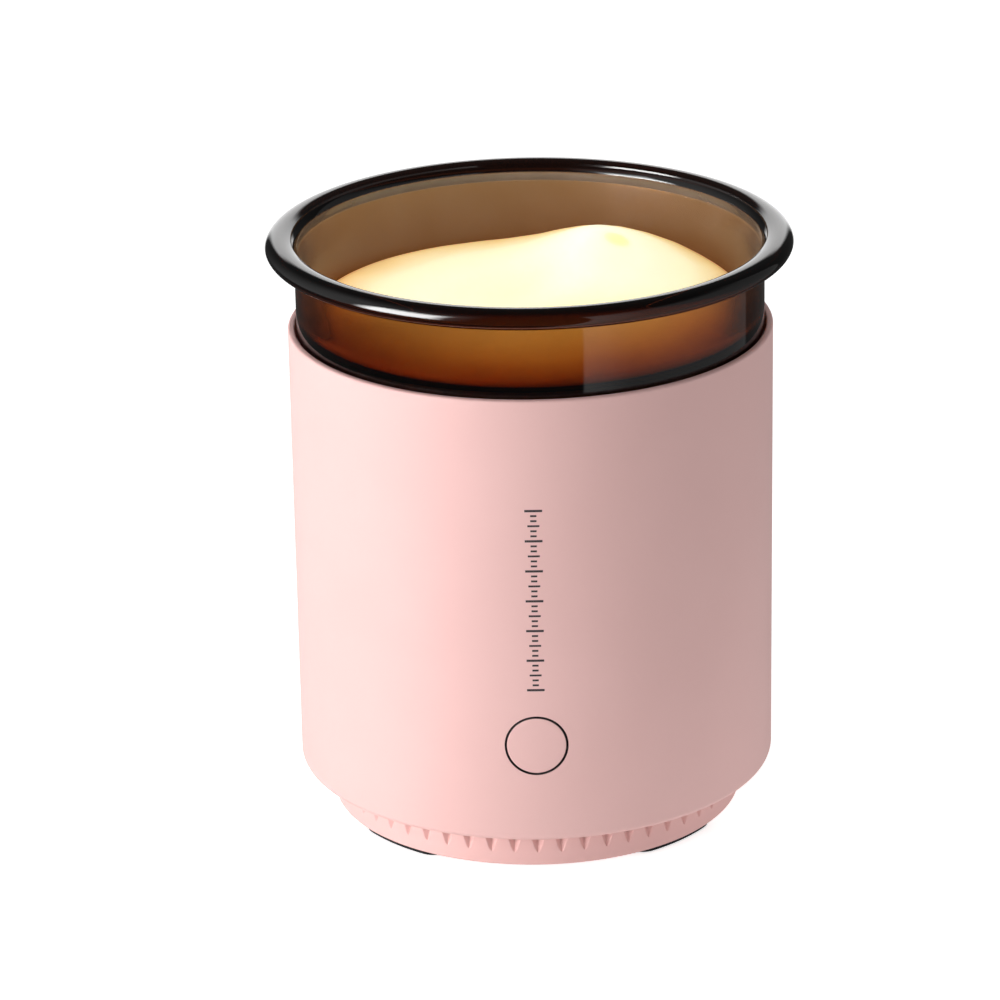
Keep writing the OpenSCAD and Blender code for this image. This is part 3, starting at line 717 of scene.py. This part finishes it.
def foot_mesh():
    half = FOOT_W / 2
    layers = ([(2.0, half), (0.6, half)]
              + [(0.6 - 0.6 * math.sin(math.radians(a)), half - 0.6 * (1 - math.cos(math.radians(a)))) for a in (18, 36, 54, 72, 90)]
              + [(0.0, half - 1.3), (0.05, half - 1.4), (0.32, half - 1.5)])
    outlines = [[(x * MM, y * MM, z * MM) for x, y in pad_outline(w)] for z, w in layers]
    n = len(outlines[0])
    verts = [v for ring in outlines for v in ring]
    faces = [tuple(range(n - 1, -1, -1)), tuple((len(outlines) - 1) * n + k for k in range(n))]
    for i in range(len(outlines) - 1):
        faces += [(i * n + k, i * n + (k + 1) % n, (i + 1) * n + (k + 1) % n, (i + 1) * n + k) for k in range(n)]
    mesh = bpy.data.meshes.new("foot")
    mesh.from_pydata(verts, [], faces)
    bm = bmesh.new()
    bm.from_mesh(mesh)
    bmesh.ops.recalc_face_normals(bm, faces=bm.faces)
    bm.to_mesh(mesh)
    bm.free()
    return mesh


def join_to(mesh, extra, operation):
    solid = bpy.data.objects.new("solid", mesh)
    tool = bpy.data.objects.new("tool", extra)
    for o in (solid, tool):
        scene.collection.objects.link(o)
    m = solid.modifiers.new("join", "BOOLEAN")
    m.operation, m.solver, m.object = operation, "EXACT", tool
    made = bpy.data.meshes.new_from_object(solid.evaluated_get(bpy.context.evaluated_depsgraph_get()))
    for o in (solid, tool):
        bpy.data.objects.remove(o)
    return made


def base_piece():
    screws = [(27.0 * math.cos(math.radians(a)), 27.0 * math.sin(math.radians(a))) for a in (45, 135, 225, 315)]
    bosses = [moved(lathe("boss", [(0.0, 3.0), (4.6, 3.0), (4.6, 7.7), (4.3, 8.0), (0.0, 8.0)], 64), 0, x, y) for x, y in screws]
    ribs = [moved(slab([(20, -0.8), (38.7, -0.8), (38.7, 0.8), (20, 0.8)], 3.0, 6.4), a) for a in (0, 90, 180, 270)]
    solid = join_to(base_mesh(), joined(bosses + ribs), "UNION")
    bores = [moved(lathe("bore", [(0.0, -1.0), (3.1, -1.0), (3.1, 5.4), (1.7, 5.4), (1.7, 10.0), (0.0, 10.0)], 64), 0, x, y) for x, y in screws]
    pads = [moved(slab(pad_outline(FOOT_W / 2 + 0.15), -1.0, 2.0), a) for a in FOOT_AT]
    slots = [moved(slab([(4.9, -0.8), (9.5, -0.8), (10.0, -0.3), (10.0, 0.3), (9.5, 0.8), (4.9, 0.8), (4.5, 0.4), (4.5, -0.4)], -1.0, 6.0), a)
             for a in range(0, 360, 30)]
    solid = join_to(solid, joined(bores + pads + slots), "DIFFERENCE")
    return finish_piece("base", solid, PINK, "housing", ["base_cover"])


base_piece()
feet = joined([moved(foot_mesh(), a) for a in FOOT_AT])
finish_piece("feet", feet, RUBBER, "housing", ["rubber_feet"])

# ---------------------------------------------------------------- glass pot

LIP_R, LIP_Z, LIP_A, LIP_B = 48.92, 117.3, 3.05, 2.05
lip = earc(LIP_R, LIP_Z, LIP_A, LIP_B, -112, 131, 58)
pot_profile = (
    [(0.0, 53.0)]
    + [(r, 53.0) for r in (10.0, 20.0, 30.0, 36.0)]
    + arc(39.5, 55.0, 2.0, -90, 0, 12)
    + [(41.5, z) for z in (60.0, 70.0, 80.0, 90.0)]
    + arc(43.1, 96.6, 1.6, 180, 90, 12)
    + arc(44.3, 100.2, 2.0, -90, 0, 14)
    + [(46.3, z) for z in (103.0, 106.0, 109.0, 112.0)]
    + arc(47.2, 114.95, 0.9, 180, 112, 7)
    + lip
    + arc(47.02, 118.68, 0.20, 124, 168, 7)
    + [(46.80, 118.62), (46.77, 118.53)]
    + arc(48.637, 115.771, 3.3, 125, 149, 14)
    + arc(46.25, 117.2, 0.5, 152, 170, 6)
    + [(43.7 + 0.1662 * (z - 104.4), z) for z in (117.2, 115.5, 113.5, 111.5, 109.5, 107.5, 105.8, 104.7)]
    + [(43.7, 104.2), (43.7, 103.6)]
    + arc(41.9, 102.8, 1.8, 0, -90, 10)
    + arc(40.5, 99.4, 1.6, 90, 180, 10)
    + [(38.9, z) for z in (90.0, 80.0, 70.0, 62.0)]
    + arc(35.9, 59.5, 3.0, 0, -90, 12)
    + [(r, 56.5) for r in (30.0, 20.0, 10.0)]
    + [(0.0, 56.5)]
)
finish_piece("glass_pot_clear", lathe("glass", pot_profile, 320), GLASS, "pot", ["glass_pot"], sharp=60)

# ---------------------------------------------------------------- wax


def hill(x, y):
    side = 8.7 if x < 13.3 else 12.7
    return 11.0 * math.exp(-0.5 * ((x - 13.3) / side) ** 2 - 0.5 * ((y - 8.0) / 20.0) ** 2)


def ripple(x, y):
    """Soft unevenness left when the wax set."""
    return (0.07 * math.sin(0.31 * x + 1.3 * math.sin(0.11 * y)) * math.cos(0.27 * y + 0.8)
            + 0.035 * math.sin(0.83 * x - 0.42 * y + 1.1) + 0.025 * math.cos(0.66 * y + 0.9 * math.sin(0.4 * x)))


def wax_mesh():
    level = 104.5
    side = [(35.8, 56.6, 0), (37.9, 57.5, 0), (38.78, 59.7, 0), (38.78, 70.0, 0), (38.78, 85.0, 0), (38.78, 99.4, 0),
            (39.0, 100.1, 0), (39.5, 100.75, 0), (40.4, 101.12, 0), (41.5, 101.15, 0), (42.4, 101.35, 0.05),
            (42.95, 101.8, 0.25), (43.1, 102.3, 0.6)]
    top = [43.1, 43.05, 42.95, 42.8, 42.6, 42.35, 42.0, 41.6, 41.1, 40.5, 39.8, 39.0] + [38.0 - 0.8 * i for i in range(47)]
    n = 240
    rings = [[(0.0, 0.0, 56.6 * MM)]]
    for r, z, w in side:
        rings.append([(r * MM * math.cos(2 * math.pi * k / n), r * MM * math.sin(2 * math.pi * k / n),
                       (z + w * hill(r * math.cos(2 * math.pi * k / n), r * math.sin(2 * math.pi * k / n))) * MM)
                      for k in range(n)])
    for r in top:
        drop = 1.9 * (math.sqrt(max(0.0, 1 - ((r - 39.0) / 4.2) ** 2)) - 1) if r > 39 else 0.0
        calm = min(1.0, max(0.0, (43.1 - r) / 3.0))
        ring = []
        for k in range(n):
            a = 2 * math.pi * k / n
            x, y = r * math.cos(a), r * math.sin(a)
            ring.append((x * MM, y * MM, (level + drop + hill(x, y) + calm * ripple(x, y)) * MM))
        rings.append(ring)
    rings.append([(0.0, 0.0, (level + hill(0, 0) + ripple(0, 0)) * MM)])
    return ring_mesh("wax", rings, False)


finish_piece("wax", wax_mesh(), WAX, "pot", ["wax_block"], sharp=70)

# ---------------------------------------------------------------- stage and light

floor_mesh = bpy.data.meshes.new("floor")
floor_mesh.from_pydata([(-4, -4, 0), (4, -4, 0), (4, 8, 0), (-4, 8, 0)], [], [(0, 1, 2, 3)])
floor = bpy.data.objects.new("floor", floor_mesh)
scene.collection.objects.link(floor)
m, n, out, place = new_material("pale_floor")
pale = n.add("ShaderNodeBsdfDiffuse", {"Color": rgb(0.82, 0.82, 0.82)})
split = n.add("ShaderNodeSeparateXYZ", {"Vector": place})
reach = n.math("SQRT", n.math("ADD", n.math("MULTIPLY", split.outputs[0], split.outputs[0]), n.math("MULTIPLY", split.outputs[1], split.outputs[1])))
bounce = n.math("MULTIPLY", n.map(split.outputs[0], -0.01, 0.06, 0.24, 0.62), n.map(reach, 0.09, 0.25, 1.0, 0.36))
path = n.add("ShaderNodeLightPath")
lifted = n.add("ShaderNodeEmission", {"Color": rgb(1, 1, 1), "Strength": n.math("MULTIPLY_ADD", path.outputs["Is Camera Ray"], n.math("SUBTRACT", 0.70, bounce), bounce)})
both = n.add("ShaderNodeAddShader", {0: pale.outputs[0], 1: lifted.outputs[0]})
n.link(both.outputs[0], out.inputs["Surface"])
floor_mesh.materials.append(m)
floor.visible_glossy = False


def area_light(name, azimuth, elevation, distance, width, height, watts, aim=(0, 0, 0.07), colour=(1, 1, 1)):
    """A softbox that looks at aim. Azimuth 0 is the front, and 90 the right."""
    data = bpy.data.lights.new(name, "AREA")
    data.shape, data.size, data.size_y, data.energy, data.color = "RECTANGLE", width, height, watts, colour
    light = bpy.data.objects.new(name, data)
    scene.collection.objects.link(light)
    a, e = math.radians(azimuth), math.radians(elevation)
    away = Vector((math.sin(a) * math.cos(e), -math.cos(a) * math.cos(e), math.sin(e)))
    light.location = Vector(aim) + away * distance
    light.rotation_mode = "QUATERNION"
    light.rotation_quaternion = away.to_track_quat("Z", "Y")
    return light


key = area_light("key", -63.5, 9, 1.0, 0.75, 0.40, 8.6)
key.visible_glossy = False
world = bpy.data.worlds.new("studio")
scene.world = world
world.use_nodes = True
w = Nodes(world.node_tree)
w_out = w.add("ShaderNodeOutputWorld")
direction = w.add("ShaderNodeTexCoord").outputs["Generated"]
axes = w.add("ShaderNodeSeparateXYZ", {"Vector": direction})
dx, dy, dz = axes.outputs[0], axes.outputs[1], axes.outputs[2]
around = w.math("ARCTAN2", dx, w.math("MULTIPLY", dy, -1.0))
to_back = w.math("ABSOLUTE", w.math("ARCTAN2", dx, dy))


def window(*edges):
    made = edges[0]
    for edge in edges[1:]:
        made = w.math("MULTIPLY", made, edge)
    return made


# what shows in gloss, as angles round the room: a softbox and a pale wall on the left, a dim card on the
# right, a white card behind, and a dark room
softbox = window(w.map(around, -1.42, -1.22), w.map(around, -0.62, -0.80), w.map(dz, -0.30, 0.0), w.map(dz, 0.80, 0.50))
left_wall = window(w.map(around, -2.75, -1.55), w.map(around, -0.40, -0.72), w.map(dz, 0.99, 0.70), w.map(dz, -0.24, -0.08))
card = window(w.map(around, 0.43, 0.46), w.map(around, 2.30, 2.27), w.map(dz, 0.80, 0.55), w.map(around, 0.46, 0.95, 1.0, 0.45),
              w.map(around, 1.2, 2.25, 1.0, 0.5))
back_card = window(w.map(to_back, 0.35, 0.24), w.map(dz, -0.31, -0.20), w.map(dz, 0.44, 0.35))
gloss = w.math("ADD", w.math("ADD", w.math("MULTIPLY", softbox, 21.0), w.math("MULTIPLY", left_wall, 0.62)),
               w.math("ADD", w.math("MULTIPLY", card, 0.75), w.math("ADD", w.math("MULTIPLY", back_card, 1.85), 0.055)))
ways = w.add("ShaderNodeLightPath")
fill = w.math("MULTIPLY", w.math("MULTIPLY", w.map(dx, 0.55, 0.98), w.map(dz, 0.55, 0.10)), 0.18)
gap = w.math("MULTIPLY", window(w.map(around, -0.55, 0.15), w.map(around, 1.35, 0.75), w.map(dz, 0.95, 0.55)), 0.37)
plain = w.math("ADD", w.math("MULTIPLY", ways.outputs["Is Diffuse Ray"], w.math("SUBTRACT", w.math("ADD", fill, -0.485), gap)), 1.0)
level = w.math("ADD", w.math("MULTIPLY", ways.outputs["Is Glossy Ray"], gloss),
               w.math("MULTIPLY", w.math("SUBTRACT", 1.0, ways.outputs["Is Glossy Ray"]), plain))
sky = w.add("ShaderNodeBackground", {"Color": rgb(1, 1, 1), "Strength": level})
w.link(sky.outputs[0], w_out.inputs["Surface"])

scene.view_settings.view_transform = "Standard"
scene.view_settings.look = "None"
